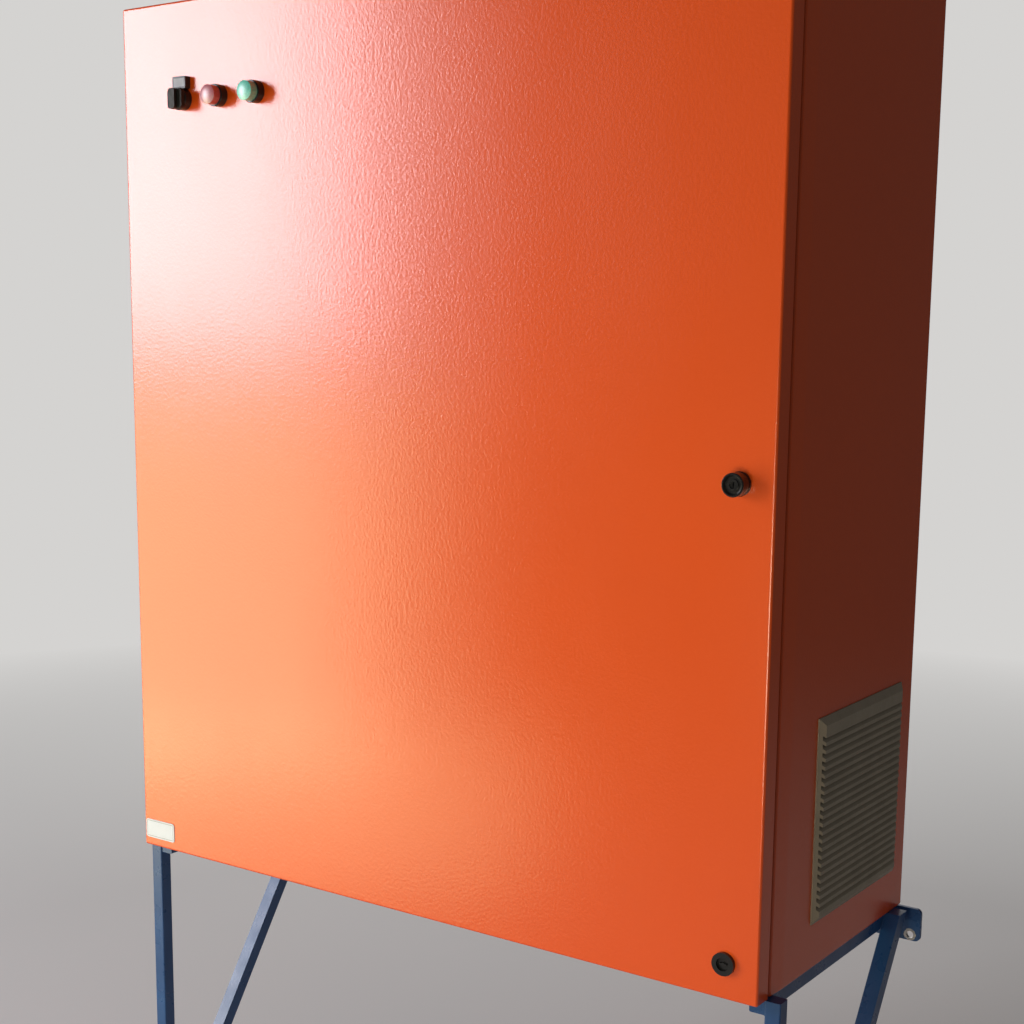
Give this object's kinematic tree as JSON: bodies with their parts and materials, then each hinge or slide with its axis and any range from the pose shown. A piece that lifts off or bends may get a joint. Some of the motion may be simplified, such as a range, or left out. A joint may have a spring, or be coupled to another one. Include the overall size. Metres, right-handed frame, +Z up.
{
  "type": "electrical panel",
  "caption": "Steel electrical enclosure with one lockable full-front door, side filter fan and inner mounting plate, on a welded square-tube stand with wall lugs.",
  "frame": {"origin": "midway between the two lug holes, on the wall plane", "axes": "+X to the viewer's right, +Y into the wall, +Z up"},
  "size_m": [1.06, 0.462, 1.75],
  "materials": {
    "orange_paint": "textured powder coat",
    "blue_paint": "gloss enamel",
    "zinc_sheet": "galvanised",
    "zinc_steel": "zinc plated",
    "black_plastic": "gloss",
    "dark_plastic": "matte",
    "light_plastic": "matte",
    "grille_plastic": "matte",
    "duct_plastic": "matte",
    "beige_plastic": "matte",
    "red_lens": "translucent gloss",
    "green_lens": "translucent gloss",
    "white_label": "gloss",
    "legend_grey": "matte",
    "brass": "bare",
    "insulator_red": "matte",
    "foam": "foamed",
    "fibre": "felt",
    "foot_rubber": "matte"
  },
  "bodies": {
    "cabinet": {"side_rail_left": "blue_paint", "side_rail_right": "blue_paint", "front_leg_left": "blue_paint", "front_leg_right": "blue_paint", "brace_left": "blue_paint", "brace_right": "blue_paint", "wall_bar": "blue_paint", "foot_plugs": "foot_rubber", "stand_bolts": "zinc_steel", "cabinet_body": "orange_paint", "gland_plate": "orange_paint", "gland_screws": "zinc_steel", "mounting_plate": "zinc_sheet", "plate_studs": "zinc_steel", "plate_nuts": "zinc_steel", "din_rails": "zinc_sheet", "duct_left": "duct_plastic", "duct_right": "duct_plastic", "duct_top": "duct_plastic", "duct_bottom": "duct_plastic", "duct_covers": "duct_plastic", "main_switch": "dark_plastic", "breaker_1": "light_plastic", "breaker_2": "light_plastic", "breaker_3": "light_plastic", "contactor_1": "dark_plastic", "contactor_2": "dark_plastic", "overload_relay": "dark_plastic", "power_supply": "light_plastic", "terminal_blocks": "beige_plastic", "earth_bar": "brass", "bar_insulators": "insulator_red", "filter_grille": "grille_plastic", "filter_mat": "fibre", "fan_housing": "grille_plastic", "hinge_body_leaves": "zinc_steel", "hinge_pins": "zinc_steel"},
    "door": {"door_panel": "orange_paint", "door_gasket": "foam", "door_strips": "zinc_sheet", "hinge_door_leaves": "zinc_steel", "lock_housings": "black_plastic", "device_bezels": "black_plastic", "pilot_red_lens": "red_lens", "pilot_green_lens": "green_lens", "legend_block": "legend_grey", "device_blocks": "dark_plastic", "nameplate": "white_label"},
    "lock_bottom": {"lock_insert_bottom": "black_plastic", "lock_cam_bottom": "zinc_steel"},
    "lock_middle": {"lock_knob": "black_plastic", "lock_cam_middle": "zinc_steel"},
    "lock_top": {"lock_insert_top": "black_plastic", "lock_cam_top": "zinc_steel"},
    "selector": {"selector_knob": "black_plastic"},
    "fan": {"fan_rotor": "dark_plastic"},
    "main_toggle": {"main_switch_toggle": "black_plastic"},
    "toggle_1": {"breaker_toggle_1": "black_plastic"},
    "toggle_2": {"breaker_toggle_2": "black_plastic"},
    "toggle_3": {"breaker_toggle_3": "black_plastic"}
  },
  "joints": [
    {"name": "door_hinge", "type": "hinge", "parent": "cabinet", "child": "door", "pos_m": [-0.493, -0.417, 0.638], "axis": [0, 0, -1], "range_deg": [0, 120]},
    {"name": "lock_bottom_turn", "type": "hinge", "parent": "door", "child": "lock_bottom", "pos_m": [0.457, -0.435, 0.082], "axis": [0, 1, 0], "range_deg": [0, 90]},
    {"name": "lock_middle_turn", "type": "hinge", "parent": "door", "child": "lock_middle", "pos_m": [0.457, -0.435, 0.638], "axis": [0, 1, 0], "range_deg": [0, 90]},
    {"name": "lock_top_turn", "type": "hinge", "parent": "door", "child": "lock_top", "pos_m": [0.457, -0.435, 1.194], "axis": [0, -1, 0], "range_deg": [0, 90]},
    {"name": "selector_turn", "type": "hinge", "parent": "door", "child": "selector", "pos_m": [-0.384, -0.435, 1.109], "axis": [0, 1, 0], "range_deg": [-45, 45]},
    {"name": "fan_spin", "type": "hinge", "parent": "cabinet", "child": "fan", "pos_m": [0.44, -0.169, 0.224], "axis": [1, 0, 0], "continuous": true},
    {"name": "main_switch_turn", "type": "hinge", "parent": "cabinet", "child": "main_toggle", "pos_m": [-0.3125, -0.111, 0.988], "axis": [1, 0, 0], "range_deg": [0, 60]},
    {"name": "breaker_1_turn", "type": "hinge", "parent": "cabinet", "child": "toggle_1", "pos_m": [-0.198, -0.095, 0.988], "axis": [1, 0, 0], "range_deg": [0, 60]},
    {"name": "breaker_2_turn", "type": "hinge", "parent": "cabinet", "child": "toggle_2", "pos_m": [-0.161, -0.095, 0.988], "axis": [1, 0, 0], "range_deg": [0, 60]},
    {"name": "breaker_3_turn", "type": "hinge", "parent": "cabinet", "child": "toggle_3", "pos_m": [-0.142, -0.095, 0.988], "axis": [1, 0, 0], "range_deg": [0, 60]}
  ]
}
